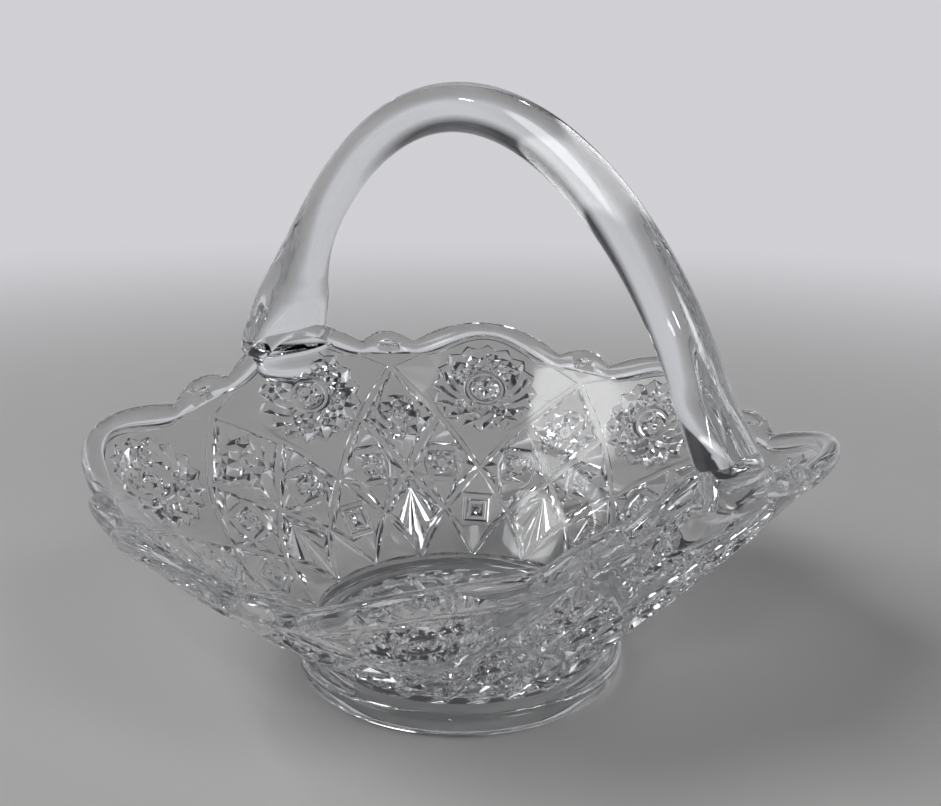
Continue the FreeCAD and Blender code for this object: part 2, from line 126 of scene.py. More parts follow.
# %% The wall between the floor's corner and the rim
corner_radius, corner_height = 41.0, 13.2
wall_thick_low, wall_thick_high, wall_bulge = 5.2, 4.4, 2.6


def wall_length(degrees):
    reach, height = rim_edge(degrees)
    return math.hypot(reach - corner_radius, height - corner_height)


def wall_thick(rise):
    return wall_thick_low + (wall_thick_high - wall_thick_low) * rise


def wall_place(degrees, rise, lift):
    """Radius and height of a point on the wall, lifted outwards from the inside surface."""
    reach, height = rim_edge(degrees)
    length = wall_length(degrees)
    along_r = (reach - corner_radius) / length
    along_z = (height - corner_height) / length
    out = lift + wall_bulge * 4.0 * rise * (1.0 - rise)
    radius = corner_radius + along_r * length * rise + along_z * out
    return radius, corner_height + along_z * length * rise - along_r * out


print("the wall is", round(wall_length(0.0), 1), "mm long under the handle")

# %% The scalloped edge
lobe_half_angle = 16.25
small_half_angle = sector / 2.0 - lobe_half_angle
notch_depth, small_scallop_depth, valley_rounding = 10.0, 5.6, 1.2
bead_edge_depth, bead_edge_wave = 9.7, 4.7


def off_the_lobe(degrees):
    """Plan angle to the middle of the nearest lobe."""
    return abs((degrees + sector / 2.0) % sector - sector / 2.0)


def scallop_drop(degrees):
    """How far the scalloped edge lies below the uncut rim; the valley between two scallops is rounded."""
    off = off_the_lobe(degrees)
    big = notch_depth * (off / lobe_half_angle) ** 2
    share = (sector / 2.0 - off) / small_half_angle
    small = small_scallop_depth + (notch_depth - small_scallop_depth) * share ** 2
    return (big + small - math.sqrt((big - small) ** 2 + valley_rounding)) / 2.0


def bead_lower_edge(degrees):
    """How far the bead's lower edge lies below the uncut rim: a smooth wave under lobes and small scallops."""
    share = min(off_the_lobe(degrees) / lobe_half_angle, 1.0)
    return bead_edge_depth - bead_edge_wave * math.cos(math.pi * share)


print("the edge drops", round(scallop_drop(sector / 2.0), 1), "mm at a small scallop's middle")

# %% [markdown]
# ## A skin of flat facets
# The outside is covered with mitre cuts, and each is a small flat facet with a crisp edge. Brushes, bevels and
# displacement all blur such facets, and an extruded and inset grid can't follow sixteen-pointed stars. So this piece
# is made in mesh code: closed loops of corners are laid on the wall, one inside the other, each at its depth in
# the glass, and a strip of triangles joins every loop to the next.

# %% Corners and facets
corners = []
facets = []
known = {}


def corner(x, y, z):
    """The number of the corner at a point; equal points share one corner."""
    key = (round(x, 4), round(y, 4), round(z, 4))
    if key not in known:
        known[key] = len(corners)
        corners.append(Vector(key))
    return known[key]


def polar(degrees, radius, height):
    c, s = turned(degrees)
    return corner(radius * c, radius * s, height)


def facet(a, b, c):
    if len({a, b, c}) == 3:
        facets.append((a, b, c))


print("skin starts with", len(corners), "corners")


# %% Strips between two loops
def bearings(loop, around_what):
    """Angles of a loop's corners about a centre, running on through the full turn."""
    centre, across, upward = around_what
    angles = []
    for k in loop + loop[:1]:
        offset = corners[k] - centre
        angle = math.atan2(offset.dot(upward), offset.dot(across))
        if angles:
            angle = angles[-1] + math.remainder(angle - angles[-1], 2.0 * math.pi)
        angles.append(angle)
    return angles


def strip(outer, inner, around_what):
    """Triangles between two closed loops, whatever their corner counts."""
    first = bearings(outer[:1], around_what)[0]
    starts = [bearings([k], around_what)[0] - first for k in inner]
    start = min(range(len(inner)), key=lambda k: 1.0 - math.cos(starts[k]))
    inner = inner[start:] + inner[:start]
    outer_angles = bearings(outer, around_what)
    inner_angles = bearings(inner, around_what)
    lead = math.remainder(starts[start], 2.0 * math.pi) - (inner_angles[0] - outer_angles[0])
    i = j = 0
    while i < len(outer) or j < len(inner):
        a = outer[i % len(outer)]
        b = inner[j % len(inner)]
        inner_next = inner_angles[j + 1] + lead if j < len(inner) else math.inf
        outer_next = outer_angles[i + 1] if i < len(outer) else math.inf
        if outer_next <= inner_next + 1e-6:
            i += 1
            facet(a, outer[i % len(outer)], b)
        else:
            j += 1
            facet(a, inner[j % len(inner)], b)


# %% Tubes, fans and nests
def tube(one, other):
    """Triangles between two closed loops of equal corner counts, corner to corner."""
    for k, a in enumerate(one):
        b, c, d = one[(k + 1) % len(one)], other[(k + 1) % len(other)], other[k]
        facet(a, b, c)
        facet(a, c, d)


def fan(loop, tip, closed=True):
    """Triangles from a loop, or from an open row of corners, to one tip."""
    for a, b in zip(loop, loop[1:] + (loop[:1] if closed else [])):
        facet(a, b, tip)


def nest(loops, tip, around_what):
    """Strips between loops from the outermost in, closed by a fan to the tip."""
    for outer, inner in zip(loops, loops[1:]):
        strip(outer, inner, around_what)
    fan(loops[-1], tip)


upright = Vector((0, 0, 0)), Vector((1, 0, 0)), Vector((0, 1, 0))
underneath = Vector((0, 0, 0)), Vector((1, 0, 0)), Vector((0, -1, 0))
print("skin tools ready")

# %% [markdown]
# ## Places on the wall
# A motif such as a star is drawn on the wall as on paper: so many millimetres across and up from its centre. The
# wall is longer on some sides than on others, so a drawn length is stretched with it, as the mould's pattern was
# when the rim was folded.

# %% Drawing on the wall
drawn_length = 88.0


def spot(place, depth=0.0):
    """Corner on the outside of the wall; depth cuts into the glass."""
    degrees, rise = place
    radius, height = wall_place(degrees, rise, wall_thick(rise) - depth)
    return polar(degrees, radius, height)


def spots(places, depth=0.0):
    return [spot(place, depth) for place in places]


def wall_frame(place):
    """A place's point on the wall, with the directions across and up the wall there."""
    degrees, rise = place
    c, s = turned(degrees)
    radius, height = wall_place(degrees, rise, wall_thick(rise))
    reach, top = rim_edge(degrees)
    upward = Vector(((reach - corner_radius) * c, (reach - corner_radius) * s, top - corner_height))
    return Vector((radius * c, radius * s, height)), Vector((-s, c, 0)), upward.normalized()


def shifted(place, across, upward):
    """The place some drawn millimetres across and up the wall from another."""
    degrees, rise = place
    new_rise = rise + upward / drawn_length
    radius, _ = wall_place(degrees, new_rise, wall_thick(new_rise))
    stretch = wall_length(degrees) / drawn_length
    return degrees + math.degrees(across * stretch / radius), new_rise


def around(centre, radius, count, turn=90.0):
    """Places on a circle about a centre."""
    result = []
    for k in range(count):
        c, s = turned(turn + 360.0 * k / count)
        result.append(shifted(centre, radius * c, radius * s))
    return result


# %% Paths round a cell
def split(path, pieces):
    """A closed path of places with each side cut into equal pieces."""
    result = []
    for k, (a, b) in enumerate(zip(path, path[1:] + path[:1])):
        for j in range(pieces):
            share = j / pieces
            result.append((a[0] + (b[0] - a[0]) * share, a[1] + (b[1] - a[1]) * share))
    return result


most_of_the_way = 0.9


def drawn_in(path, centre, distance):
    """The path drawn in towards a centre by a distance measured on the wall."""
    result = []
    for degrees, rise in path:
        radius, _ = wall_place(degrees, rise, wall_thick(rise))
        across = math.radians(centre[0] - degrees) * radius
        upward = (centre[1] - rise) * wall_length(degrees)
        share = min(distance / math.hypot(across, upward), most_of_the_way)
        result.append((degrees + (centre[0] - degrees) * share, rise + (centre[1] - rise) * share))
    return result


print("drawing tools ready")

# %% [markdown]
# ## The cells of the pattern
# Smooth bands cross the wall as a lattice and leave cells between them. Each cell starts with the same three loops:
# the band's middle line, its edge, and the groove's bottom. What is inside differs: a roundel of diamonds round a
# button, a stepped square, a fan of blades, or at the top the large hobstar. Neighbours share the band's middle
# line, so every cell splits that line alike, and only the loops inside it may be finer.

# %% Cut depths and what every cell starts with
groove_depth, pit_depth, half_groove_depth = 1.9, 1.4, 1.0
shallow_depth, crest_depth, peak_depth = 0.5, 0.2, 0.1
wide_band, narrow_band, groove_slope = 1.5, 0.8, 0.9


def by_turns(places, even_depth, odd_depth):
    """Corners at two depths by turns, which makes a row of diamonds or notches."""
    return [spot(place, odd_depth if k % 2 else even_depth) for k, place in enumerate(places)]


def drawn(centre, points):
    """Places from a little drawing in millimetres about a centre."""
    return [shifted(centre, x, y) for x, y in points]


def cell(path, centre, half_width, pieces=2, notched=False):
    """Loops that every cell starts with: band line, band edge and groove."""
    line, cut = split(path, 2), split(path, pieces)
    edge = drawn_in(cut, centre, half_width)
    groove = drawn_in(cut, centre, half_width + groove_slope)
    if notched:
        bed = drawn_in(cut, centre, half_width + 2.0 * groove_slope)
        return [spots(line), spots(edge), by_turns(groove, groove_depth, shallow_depth), spots(bed, groove_depth)]
    return [spots(line), spots(edge), by_turns(groove, groove_depth, shallow_depth)]


print("deepest cut, mm:", groove_depth)


# %% Roundels
def top_roundel_cell(path, centre):
    """Rings of diamonds round a button, under a row of notches along the bands."""
    loops = cell(path, centre, wide_band, pieces=8, notched=True)
    loops.append(by_turns(around(centre, 8.4, 16), crest_depth, pit_depth))
    loops.append(by_turns(around(centre, 6.4, 16), groove_depth, peak_depth))
    loops.append(by_turns(around(centre, 4.2, 16), peak_depth, groove_depth))
    loops.append(spots(around(centre, 2.9, 16), groove_depth))
    loops.append(spots(around(centre, 2.1, 8), crest_depth))
    loops.append(spots(around(centre, 1.0, 8), crest_depth))
    nest(loops, spot(centre, half_groove_depth), wall_frame(centre))


def low_roundel_cell(path, centre):
    """The small roundel between two level windows."""
    loops = cell(path, centre, narrow_band, pieces=6)
    moat = [(4.2, 7.2), (5.9, 4.8), (6.8, 0.0), (5.7, -4.8), (3.8, -7.0)]
    frame_out = [(3.8, 6.5), (5.2, 4.4), (6.0, 0.0), (5.0, -4.4), (3.4, -6.3)]
    frame_in = [(4.2, 4.6), (4.8, 4.2), (5.4, 0.0), (4.6, -4.2), (3.8, -4.8)]
    for points, depth in ((moat, groove_depth), (frame_out, peak_depth), (frame_in, peak_depth)):
        loops.append(spots(drawn(centre, points[::-1] + [(-x, y) for x, y in points]), depth))
    loops.append(spots(around(centre, 4.1, 16), groove_depth))
    loops.append(by_turns(around(centre, 3.4, 16), peak_depth, groove_depth))
    loops.append(by_turns(around(centre, 2.3, 16), groove_depth, peak_depth))
    loops.append(spots(around(centre, 1.4, 8), crest_depth))
    nest(loops, spot(centre, half_groove_depth), wall_frame(centre))


# %% Square, fan and toe
def square_cell(path, centre):
    """A stepped square with a level window above and below, and a button on top."""
    loops = cell(path, centre, narrow_band)
    # half width, half height and depth of each step, from the outside in
    for wide, high, depth in ((4.6, 5.8, groove_depth), (4.2, 5.4, peak_depth), (4.0, 4.2, peak_depth),
                              (3.6, 3.8, pit_depth), (3.2, 3.4, pit_depth), (2.8, 3.0, crest_depth),
                              (2.0, 2.2, crest_depth), (1.7, 1.9, half_groove_depth)):
        four = drawn(centre, [(wide, -high), (wide, high), (-wide, high), (-wide, -high)])
        loops.append(spots(split(four, 2), depth))
    loops.append(spots(around(centre, 1.0, 8, -45.0), 0.0))
    nest(loops, spot(centre, half_groove_depth), wall_frame(centre))


def fan_cell(path, centre, root):
    """Blades like grass, spread from a root at the top of the cell."""
    loops = cell(path, centre, narrow_band, pieces=6)
    blades = drawn_in(split(path, 6), centre, narrow_band + 2.0 * groove_slope)
    loops.append(by_turns(blades, crest_depth, groove_depth))
    nest(loops, spot(root, half_groove_depth), wall_frame(centre))


def toe_cell(path, centre):
    """A small three-sided cell at the foot of the pattern, cut as a pyramid."""
    bottom_in, bottom_depth = 1.0, 1.2
    bottom = drawn_in(path, centre, bottom_in)
    nest([spots(path), spots(bottom, bottom_depth)], spot(centre), wall_frame(centre))


print("cells: two roundels, square, fan, toe")

# %% [markdown]
# ## The hobstar
# It is the pattern's main motif: a hub button in a ring, rows of small diamonds, and a jagged outline that runs out
# into the smooth margin under the rim. A round loop stands between the outline and the cell's border, because a
# strip straight from a jagged loop to a plain one folds over itself.

# %% Hobstar
def hobstar(centre, boundary, places):
    """The hobstar with its smooth margin; places are the boundary's, and boundary is its corners."""
    points, wider = 16, 1.14
    border_in, margin_in, margin_depth = 1.0, 1.5, 0.5

    def ring(radius, count=points * 2):
        return [shifted(centre, radius * wider * c, radius * s)
                for c, s in (turned(90.0 + 360.0 * k / count) for k in range(count))]

    def jagged(tip_radius, valley_radius):
        return [place for pair in zip(ring(tip_radius)[::2], ring(valley_radius)[1::2]) for place in pair]

    loops = [boundary, spots(drawn_in(places, centre, border_in))]
    loops.append(spots(drawn_in(places, centre, margin_in), margin_depth))
    loops += [spots(ring(17.0), margin_depth), spots(jagged(16.7, 14.9), margin_depth)]
    loops.append(by_turns(jagged(15.9, 14.0), half_groove_depth, groove_depth))
    depths = [peak_depth, groove_depth]
    for radius in (13.1, 11.3, 9.7, 8.2):
        loops.append(by_turns(ring(radius), *depths))
        depths.reverse()
    for radius, depth in ((6.6, groove_depth), (5.8, crest_depth), (4.9, crest_depth), (4.1, groove_depth)):
        loops.append(spots(ring(radius), depth))
    loops.append(spots(ring(3.2, points), crest_depth))
    loops.append(by_turns(ring(1.9, points), crest_depth, half_groove_depth))
    nest(loops, spot(centre, shallow_depth), wall_frame(centre))


print("hobstar ready")

# %% [markdown]
# ## The bead along the rim
# The whole rim ends in a thick, rounded bead, melted smooth. It is drawn as a rounded section that goes round the
# rim once, and it grows and shrinks with the scallops. In the middle of each small scallop both faces have an oval
# thumbprint, which works as a little lens: it shows as a bright eye with a dark outline. A pipe swept along a
# curve couldn't do this, so each corner of the section is worked out from its plan angle and its turn.

# %% The bead along the scallops
bead_thick = 6.0
lobe_steps, small_steps = 24, 16
bead_turns = [-48.0 + 276.0 * k / 22 for k in range(23)]


def rim_angles(mid):
    """Plan angles across one lobe, from notch axis to notch axis."""
    half = sector / 2.0
    small = [mid - half + small_half_angle * k / small_steps for k in range(small_steps)]
    big = [mid - lobe_half_angle + 2.0 * lobe_half_angle * k / lobe_steps for k in range(lobe_steps)]
    last = [mid + lobe_half_angle + small_half_angle * k / small_steps for k in range(small_steps)]
    return small + big + last


thumb_half_width, thumb_half_height, thumb_below_edge, thumb_depth = 5.0, 2.3, 4.9, 1.9
far_thumb_share = 0.8


def thumbprint(degrees, below_rim):
    """Depth of the oval thumbprint in the middle of each small scallop."""
    off = (degrees + sector) % sector - sector / 2.0
    across = math.radians(off) * rim_edge(degrees)[0]
    down = below_rim - small_scallop_depth - thumb_below_edge
    share = (across / thumb_half_width) ** 2 + (down / thumb_half_height) ** 2
    return thumb_depth * max(0.0, 1.0 - share) ** 0.8


def bead_corner(degrees, turn):
    """Corner of the bead's rounded section: turn 0 faces out, 90 is the top, 180 faces in."""
    c, s = turned(turn)
    drop = scallop_drop(degrees)
    lowest = math.sin(math.radians(-bead_turns[0]))
    half_height = (bead_lower_edge(degrees) - drop) / (1.0 + lowest)
    below = drop + half_height * (1.0 - s)
    rise = 1.0 - below / wall_length(degrees)
    lift = wall_thick(rise) / 2.0 + bead_thick / 2.0 * c
    lift -= thumbprint(degrees, below) * (1.0 if c > 0.0 else -far_thumb_share)
    radius, height = wall_place(degrees, rise, lift)
    return polar(degrees, radius, height)


print("bead sections per lobe:", len(rim_angles(0.0)))

# %% [markdown]
# ## One lobe's share of the pattern, eight times
# The mould had the same pattern eight times, and the folding stretched each a little. The lattice's crossings are
# the same share of the way across a lobe and up the wall everywhere, so one function lays the cells of a lobe and
# is called for each, and the stretching comes by itself.

# %% The lattice
arch_top, side_crossing, band_crossing = 0.80, 0.59, 0.385
arch_foot, low_crossing, pattern_foot = 0.365, 0.215, 0.03
hobstar_middle, top_roundel_middle, low_roundel_middle = 0.722, 0.585, 0.40
square_middle, fan_middle, fan_root, toe_middle = 0.215, 0.20, 0.30, 0.085


def patterned_sector(mid):
    """All cells of the lobe whose middle is at this plan angle, up to the bead's lower edge."""
    half = sector / 2.0

    def at(place, rise):
        return mid + place * half, rise

    top_left, top_right = at(-1, arch_top), at(1, arch_top)
    side_left, side_right, far_side = at(-0.5, side_crossing), at(0.5, side_crossing), at(1.5, side_crossing)
    foot_left, foot_right = at(-1, arch_foot), at(1, arch_foot)
    low_left, low_right, far_low = at(-0.5, low_crossing), at(0.5, low_crossing), at(1.5, low_crossing)
    cross, toe, far_toe = at(0, band_crossing), at(0, pattern_foot), at(1, pattern_foot)

    top_roundel_cell([foot_right, far_side, top_right, side_right], at(1, top_roundel_middle))
    low_roundel_cell([low_left, cross, side_left, foot_left], at(-0.5, low_roundel_middle))
    low_roundel_cell([low_right, foot_right, side_right, cross], at(0.5, low_roundel_middle))
    square_cell([toe, low_right, cross, low_left], at(0, square_middle))
    fan_cell([far_toe, far_low, foot_right, low_right], at(1, fan_middle), at(1, fan_root))
    for side_sign, low in ((1, low_right), (-1, low_left)):
        row = [at(side_sign * k / 4, pattern_foot) for k in range(5)]
        path = row + split([row[-1], low, row[0]], 2)[1:4]
        toe_cell(path[::side_sign], at(side_sign * 0.5, toe_middle))

    lower_right = split([cross, side_right, top_right], 2)[:4]
    lower_left = split([top_left, side_left, cross], 2)[:4]
    notches = [a for a in rim_angles(mid) + [mid + half] if abs(a - mid) < lobe_half_angle + 0.01]
    under_bead = [bead_corner(a, bead_turns[0]) for a in notches]
    edge_places = [(a, 1.0 - bead_lower_edge(a) / wall_length(a)) for a in notches]
    boundary = spots(lower_right + [top_right]) + under_bead[::-1] + spots(lower_left)
    hobstar(at(0, hobstar_middle), boundary, lower_right + [top_right] + edge_places[::-1] + lower_left)
    scallop = [mid + half + small_half_angle * k / small_steps for k in range(-small_steps, small_steps + 1)]
    fan([bead_corner(a, bead_turns[0]) for a in scallop[::-1]], spot(top_right), closed=False)


for k in range(lobes):
    patterned_sector(k * sector)
print("cut facets:", len(facets))

# %% [markdown]
# ## The smooth inside and the foot
# The plunger that pressed the glass was plain, so the inside is smooth, and the cuts are seen through it. These
# surfaces are round, so they get many rings, and later smooth shading. The foot is a turned ring with a flat
# face to stand on, and the floor's underside has a star of rays pressed up into it.

# %% Bead and inside
all_angles = [a for k in range(lobes) for a in rim_angles(k * sector)]
bead_loops = [[bead_corner(a, turn) for a in all_angles] for turn in bead_turns]
for one, other in zip(bead_loops, bead_loops[1:]):
    tube(one, other)

round_count = lobes * 24
round_angles = [360.0 * k / round_count for k in range(round_count)]
inside_loops = [bead_loops[-1]]
for rise in [0.80 - 0.05 * k for k in range(17)]:
    inside_loops.append([polar(a, *wall_place(a, max(rise, 0.0), 0.0)) for a in round_angles])
floor_height, corner_roll = 12.0, 0.35
inside_loops.append([polar(a, 39.2, floor_height + corner_roll) for a in round_angles])
for radius in (37.0, 30.0, 20.0, 10.0):
    inside_loops.append([polar(a, radius, floor_height) for a in round_angles])
nest(inside_loops, corner(0.0, 0.0, floor_height), upright)
print("inside rings:", len(inside_loops))


# %% Foot ring
def arc(centre_radius, centre_height, radius, first, last, steps=7):
    """Radius and height of points along an arc of the foot's section."""
    points = []
    for k in range(steps + 1):
        c, s = turned(first + (last - first) * k / steps)
        points.append((centre_radius + radius * c, centre_height + radius * s))
    return points


hollow_height, hollow_radius, ray_depth = 6.2, 41.0, 1.7
foot_section = [(46.4, 10.8)] + arc(47.8, 4.6, 2.2, 90, 0) + arc(47.0, 3.0, 3.0, 0, -90)
foot_section += [(42.6, 0.0), (hollow_radius, 1.6), (hollow_radius, hollow_height)]
foot_loops = [spots([(360.0 * k / 64, pattern_foot) for k in range(64)])]
foot_loops += [[polar(a, radius, height) for a in round_angles] for radius, height in foot_section]
print("foot rings:", len(foot_loops))

# %% Star under the floor
ray_angles = [7.5 * k for k in range(48)]
for radius in (36.0, 30.5, 25.5, 20.5, 15.5, 11.0):
    foot_loops.append([polar(a, radius, hollow_height + (k % 2) * ray_depth) for k, a in enumerate(ray_angles)])
foot_loops.append([polar(a, 7.0, 7.6) for a in ray_angles[::2]])
nest([loop[::-1] for loop in foot_loops], corner(0.0, 0.0, hollow_height), underneath)
print("facets of the bowl:", len(facets))

# %% [markdown]
# ## The bowl as a mesh
# The corners and facets become one mesh. Corners that fell on the same point are merged, and the faces are turned
# outwards, because glass bends the light the wrong way where a face looks inwards.

# %% The bowl as a mesh
millimetre = 0.001
bowl_mesh = bpy.data.meshes.new("glass_bowl")
bowl_mesh.from_pydata([tuple(c * millimetre) for c in corners], [], facets)
bowl = bpy.data.objects.new("glass_bowl", bowl_mesh)
bpy.context.collection.objects.link(bowl)
make_active(bowl)
bpy.ops.object.mode_set(mode="EDIT")
bpy.ops.mesh.select_all(action="SELECT")
bpy.ops.mesh.remove_doubles(threshold=1e-6)
bpy.ops.mesh.normals_make_consistent(inside=False)
bpy.ops.object.mode_set(mode="OBJECT")
print("bowl corners", len(bowl_mesh.vertices), "faces", len(bowl_mesh.polygons))

# %% [markdown]
# ## The handle
# It is a rod of hot glass: its end is pressed on the outside of one lobe, it is drawn over in an arch, and pressed on
# the opposite lobe. So it starts as one circle that is extruded along the arch, section by section, as the rod was
# drawn. Its ends are wider and flatter, because they were pressed.

# %% Pressed ends
def pad_point(degrees, below_rim, stand):
    """A point off the outside of the wall, under the rim at the handle's end."""
    rise = 1.0 - below_rim / wall_length(degrees)
    radius, height = wall_place(degrees, rise, wall_thick(rise) + stand)
    return Vector((radius * turned(degrees)[0], 0, height))


def pad(degrees, half_width, length, thickness):
    """Stations of a pressed end, from its tip up to the rim: each a point, a half thickness and a half width."""
    # share of the length, thickness and width, and how far the rod's middle stands off the wall
    shares_and_stand = ((1.0, 0.30, 0.34, 0.2), (0.93, 0.52, 0.66, 0.5), (0.75, 0.76, 0.92, 0.8),
                        (0.4, 0.9, 1.0, 1.2), (0.1, 1.15, 1.0, 2.8))
    return [(pad_point(degrees, length * down, stand), thickness * thick, half_width * wide)
            for down, thick, wide, stand in shares_and_stand]


left_half_width, right_half_width = 17.4, 11.0
left = pad(180.0, left_half_width, 20.0, 4.1)
right = pad(0.0, right_half_width, 25.0, 4.6)
print("each end has", len(left), "stations")

# %% The handle's path
rod_radius = 6.8
arch_middle, arch_half_span, arch_foot_height, arch_height, arch_half_turn = -3.0, 94.0, 90.0, 74.96, 76.0
widened_ends = ((left, left_half_width, 31.0), (right, right_half_width, 13.0))
arch = []
for k in range(23):
    angle = math.radians(-arch_half_turn + 2.0 * arch_half_turn * k / 22)
    point = Vector((arch_middle + arch_half_span * math.sin(angle), 0,
                    arch_foot_height + arch_height * math.cos(angle) ** 1.5))
    wide = rod_radius
    for pressed_end, half_width, length in widened_ends:
        away = (point - pressed_end[-1][0]).length
        wide += (half_width - rod_radius) * math.exp(-(away / length) ** 2)
    arch.append((point, rod_radius, wide))
stations = left + arch + right[::-1]
print("stations along the rod:", len(stations))


# %% Sections between the stations
def smooth_between(values, where):
    """Catmull-Rom value between stations."""
    k = min(int(where), len(values) - 2)
    t = where - k
    p0, p1, p2, p3 = (values[max(0, min(len(values) - 1, k + d))] for d in (-1, 0, 1, 2))
    return 0.5 * ((2 * p1) + (p2 - p0) * t + (2 * p0 - 5 * p1 + 4 * p2 - p3) * t ** 2
                  + (3 * p1 - p0 - 3 * p2 + p3) * t ** 3)


rod_sides, rod_sections = 32, 121
sections = []
for k in range(rod_sections):
    where = (len(stations) - 1) * k / (rod_sections - 1)
    sections.append(tuple(smooth_between([station[part] for station in stations], where) for part in range(3)))
print("handle sections", len(sections))


# %% Extruding the rod along the path
def place_ring(ring, section, ahead):
    """Sets the rod's newest ring of corners square to the path."""
    place, thick, wide = section
    across = Vector((0, 1, 0))
    outward = across.cross(ahead).normalized()
    for k, vertex in enumerate(ring):
        c, s = turned(360.0 * k / len(ring))
        vertex.co = (place + outward * (thick * c) + across * (wide * s)) * millimetre


deselect_all()
bpy.ops.mesh.primitive_circle_add(vertices=rod_sides, radius=rod_radius * millimetre, location=(0, 0, 0))
rod = bpy.context.object
rod.name = "glass_rod"
bpy.ops.object.mode_set(mode="EDIT")
shape = bmesh.from_edit_mesh(rod.data)
shape.verts.ensure_lookup_table()
for number, section in enumerate(sections):
    if number:
        bpy.ops.mesh.extrude_region_move()
        shape = bmesh.from_edit_mesh(rod.data)
        shape.verts.ensure_lookup_table()
    ring = shape.verts[-rod_sides:]
    before, after = sections[max(number - 1, 0)][0], sections[min(number + 1, rod_sections - 1)][0]
    place_ring(ring, section, after - before)
    bmesh.update_edit_mesh(rod.data)
bpy.ops.mesh.select_all(action="SELECT")
bpy.ops.mesh.fill_holes(sides=rod_sides)
bpy.ops.mesh.normals_make_consistent(inside=False)
bpy.ops.object.mode_set(mode="OBJECT")
print("rod corners", len(rod.data.vertices), "faces", len(rod.data.polygons))

# %% [markdown]
# ## Melting the two together
# On the real basket the rod melted into the wall, with no surface left between them. Two pieces of glass that
# only overlap would show an inner skin, so a Boolean union makes them one. The exact solver trips over so many
# thin facets, and the manifold solver, made for closed meshes, joins them at once. Faces that meet at less than
# 24 degrees are shaded smooth: the rod, bead and foot come out round, and the cuts keep their edges.

# %% Union
def litres(piece):
    """Litres in a closed mesh, negative if its faces point inwards, and how many edges are open."""
    measured = bmesh.new()
    measured.from_mesh(piece.data)
    volume = measured.calc_volume(signed=True) * 1000.0
    open_edges = sum(1 for edge in measured.edges if not edge.is_manifold)
    measured.free()
    return round(volume, 4), open_edges


print("litres and open edges of the bowl", litres(bowl), "and of the rod", litres(rod))
make_active(bowl)
union = bowl.modifiers.new("melted_on", "BOOLEAN")
union.operation = "UNION"
union.solver = "MANIFOLD"
union.object = rod
bpy.ops.object.modifier_apply(modifier=union.name)
bpy.data.objects.remove(rod)
bowl.name = "glass_basket_clear"
make_active(bowl)
bpy.ops.object.shade_smooth_by_angle(angle=math.radians(24.0))
print("litres and open edges of the basket", litres(bowl))
print("basket corners", len(bowl.data.vertices), "faces", len(bowl.data.polygons))

# %% [markdown]
# ## Clear glass
# The glass is colourless, with only a breath of grey in its thick parts, and fire-polished to a full gloss. One
# Principled shader with full transmission does it. A very faint, wide ripple on the surface keeps the reflections
# from looking like a drawing, as hand work does.

# %% Glass
glass = bpy.data.materials.new("clear_pressed_glass")
glass.use_nodes = True
nodes, links = glass.node_tree.nodes, glass.node_tree.links
shader = nodes["Principled BSDF"]
shader.inputs["Base Color"].default_value = (0.87, 0.88, 0.885, 1.0)
shader.inputs["Roughness"].default_value = 0.0
shader.inputs["IOR"].default_value = 1.52
shader.inputs["Transmission Weight"].default_value = 1.0
coordinates = nodes.new("ShaderNodeTexCoord")
ripple = nodes.new("ShaderNodeTexNoise")
ripple.inputs["Scale"].default_value = 60.0
ripple.inputs["Detail"].default_value = 1.0
bump = nodes.new("ShaderNodeBump")
bump.inputs["Strength"].default_value = 0.06
bump.inputs["Distance"].default_value = 0.0006
links.new(coordinates.outputs["Object"], ripple.inputs["Vector"])
links.new(ripple.outputs["Fac"], bump.inputs["Height"])
links.new(bump.outputs["Normal"], shader.inputs["Normal"])
bowl.data.materials.clear()
bowl.data.materials.append(glass)
print("glass on", bowl.name)

# %% [markdown]
# ## In the CAD solid's place
# The basket has no joints, so its one piece rides on the root body and stands in for the one CAD node.

# %% The basket takes the CAD solid's place
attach(bowl, "root")
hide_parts("glass_basket")
print("replaced glass_basket")

# %% [markdown]
# ## The floor
# It is plain and pale. A floor that ended at the horizon would draw a hard line through the clear glass, so further
# out it fades into the background's own colour. It lies a third of a millimetre under the foot: where the two
# touched exactly, no light would reach the floor there, and the foot would mirror a black ring.

# %% Floor
floor_gap = 0.0003
background_colour = (0.63, 0.63, 0.66, 1.0)
deselect_all()
bpy.ops.mesh.primitive_plane_add(size=12.0, location=(0, 0, -floor_gap))
floor = bpy.context.object
floor.name = "floor"
paper = bpy.data.materials.new("pale_floor")
paper.use_nodes = True
nodes, links = paper.node_tree.nodes, paper.node_tree.links
paper_shader = nodes["Principled BSDF"]
paper_shader.inputs["Base Color"].default_value = (0.74, 0.73, 0.72, 1.0)
paper_shader.inputs["Roughness"].default_value = 0.7
paper_shader.inputs["Specular IOR Level"].default_value = 0.2
floor.data.materials.append(paper)

# %% Fading the floor out
far_off = nodes.new("ShaderNodeEmission")
far_off.inputs["Color"].default_value = background_colour
place = nodes.new("ShaderNodeTexCoord")
distance = nodes.new("ShaderNodeVectorMath")
distance.operation = "LENGTH"
fade = nodes.new("ShaderNodeMapRange")
fade.interpolation_type = "SMOOTHSTEP"
fade.inputs["From Min"].default_value = 0.25
fade.inputs["From Max"].default_value = 1.1
blend = nodes.new("ShaderNodeMixShader")
links.new(place.outputs["Object"], distance.inputs[0])
links.new(distance.outputs["Value"], fade.inputs["Value"])
links.new(fade.outputs["Result"], blend.inputs[0])
links.new(paper_shader.outputs[0], blend.inputs[1])
links.new(far_off.outputs[0], blend.inputs[2])
links.new(blend.outputs[0], nodes["Material Output"].inputs["Surface"])
print("floor fades from", fade.inputs["From Min"].default_value, "m on")

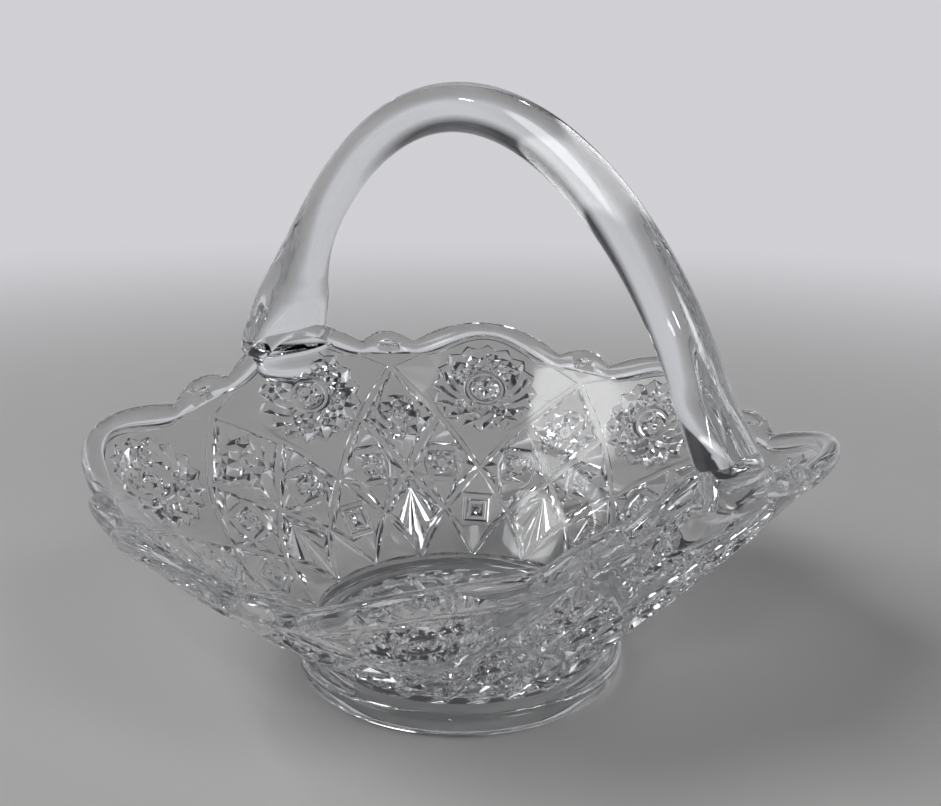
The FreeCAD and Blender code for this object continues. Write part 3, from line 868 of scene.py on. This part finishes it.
# %% [markdown]
# ## Background and light
# Clear glass is drawn by what it mirrors and bends, so it needs dark places as well as light ones. The background
# is pale up to a little above the horizon, and dark overhead: the dark shows in the glass as the outlines that
# make its form readable. Two soft round patches of light in the sky, a large one in front and a small one on the
# right, do the work of softboxes. They are part of the world, because its light passes through clear glass to the
# floor, while the light of a lamp would be stopped by it.

# %% World
world = bpy.data.worlds.new("pale_room")
bpy.context.scene.world = world
world.use_nodes = True
nodes, links = world.node_tree.nodes, world.node_tree.links
background = nodes["Background"]
place = nodes.new("ShaderNodeTexCoord")
axes = nodes.new("ShaderNodeSeparateXYZ")
ramp = nodes.new("ShaderNodeValToRGB")
links.new(place.outputs["Generated"], axes.inputs["Vector"])
links.new(axes.outputs["Z"], ramp.inputs["Fac"])
ramp.color_ramp.elements[0].position = 0.17
ramp.color_ramp.elements[0].color = background_colour
ramp.color_ramp.elements[1].position = 0.40
ramp.color_ramp.elements[1].color = (0.04, 0.04, 0.045, 1.0)
room_light = ramp.outputs["Color"]
print("background colour", background_colour[:3])

# %% Soft patches of light
soft_edge = 5.0
softboxes = (((-0.30, -0.75, 0.85), 19.0, 4.6), ((0.85, 0.10, 0.80), 10.0, 5.0))
for direction, half_angle, strength in softboxes:
    toward = nodes.new("ShaderNodeVectorMath")
    toward.operation = "DOT_PRODUCT"
    toward.inputs[1].default_value = Vector(direction).normalized()
    patch = nodes.new("ShaderNodeMapRange")
    patch.interpolation_type = "SMOOTHSTEP"
    patch.inputs["From Min"].default_value = math.cos(math.radians(half_angle))
    patch.inputs["From Max"].default_value = math.cos(math.radians(half_angle - soft_edge))
    patch.inputs["To Max"].default_value = strength
    glow = nodes.new("ShaderNodeMixRGB")
    glow.blend_type = "ADD"
    glow.inputs["Fac"].default_value = 1.0
    links.new(place.outputs["Generated"], toward.inputs[0])
    links.new(toward.outputs["Value"], patch.inputs["Value"])
    links.new(room_light, glow.inputs["Color1"])
    links.new(patch.outputs["Result"], glow.inputs["Color2"])
    room_light = glow.outputs["Color"]
links.new(room_light, background.inputs["Color"])
background.inputs["Strength"].default_value = 1.0
print("patches of light:", len(softboxes))

# %% [markdown]
# ## Two small lamps and many bounces
# The cut facets sparkle only where they catch something small and bright, so two little lamps stand near, aimed at
# the middle of the basket. Light that passes through both walls of a cut bowl crosses many surfaces, and with
# Blender's usual twelve bounces it ends inside the glass and leaves black patches, so it gets more.


# %% Sparkle lamps
def sparkle_lamp(name, place):
    deselect_all()
    bpy.ops.object.light_add(type="AREA", location=place)
    lamp = bpy.context.object
    lamp.name = name
    lamp.data.shape = "RECTANGLE"
    lamp.data.size, lamp.data.size_y = 0.03, 0.03
    lamp.data.energy = 0.15
    lamp.rotation_mode = "QUATERNION"
    lamp.rotation_quaternion = (Vector((0, 0, 0.06)) - Vector(place)).to_track_quat("-Z", "Y")


sparkle_lamp("sparkle_lamp_front", (0.32, -0.34, 0.40))
sparkle_lamp("sparkle_lamp_left", (-0.34, -0.26, 0.42))
print("lamps set")

# %% Bounces
cycles = bpy.context.scene.cycles
cycles.max_bounces, cycles.transmission_bounces, cycles.glossy_bounces = 32, 32, 16
print("light may bounce", cycles.max_bounces, "times")

# %% [markdown]
# ## Finishing

# %% Finish
bpy.context.scene.view_settings.view_transform = "Standard"
